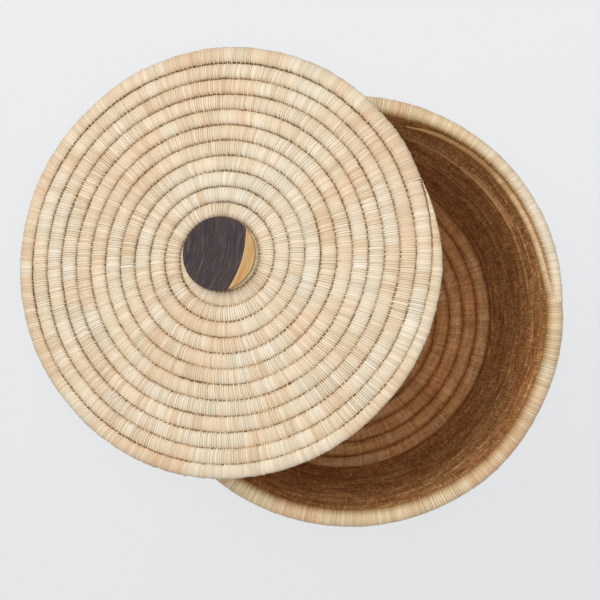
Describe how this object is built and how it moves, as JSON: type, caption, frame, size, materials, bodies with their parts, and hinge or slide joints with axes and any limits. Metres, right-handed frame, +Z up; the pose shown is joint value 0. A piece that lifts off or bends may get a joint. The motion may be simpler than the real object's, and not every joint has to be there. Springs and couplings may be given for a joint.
{
  "type": "lidded laundry basket",
  "caption": "Round coiled straw laundry basket with a flat coiled lid that rests tilted and off centre on the rim, with a locating collar below and a two-tone wooden knob.",
  "frame": {"origin": "centre of the floor coil's underside, where the basket's axis meets the surface that it stands on", "axes": "+Z up along the basket's axis; -X is the side that the lid lies towards, so +X runs from the lid's centre to the basket's; +Y completes a right-handed frame"},
  "size_m": [0.5368, 0.4145, 0.4051],
  "materials": {
    "basket_straw": "wrapped and stitched dry straw, matt with a faint sheen",
    "lid_straw": "wrapped and stitched dry straw, matt with a faint sheen",
    "two_tone_wood": "dark heartwood with a strip of golden sapwood, oiled and satin",
    "fastener_steel": "plain bright steel"
  },
  "bodies": {
    "basket": {"floor_centre_knot": "basket_straw", "floor_coil": "basket_straw", "wall_coils": "basket_straw", "rim_coil": "basket_straw"},
    "lid": {"lid_coil": "lid_straw", "lid_edge_coil": "lid_straw", "lid_collar": "lid_straw", "knob": "two_tone_wood", "knob_washer": "fastener_steel", "knob_screw": "fastener_steel"}
  },
  "joints": [
    {"name": "lid_lift", "type": "slide", "parent": "basket", "child": "lid", "axis": [0, 0, 1], "range_m": [0, 0.3]}
  ]
}
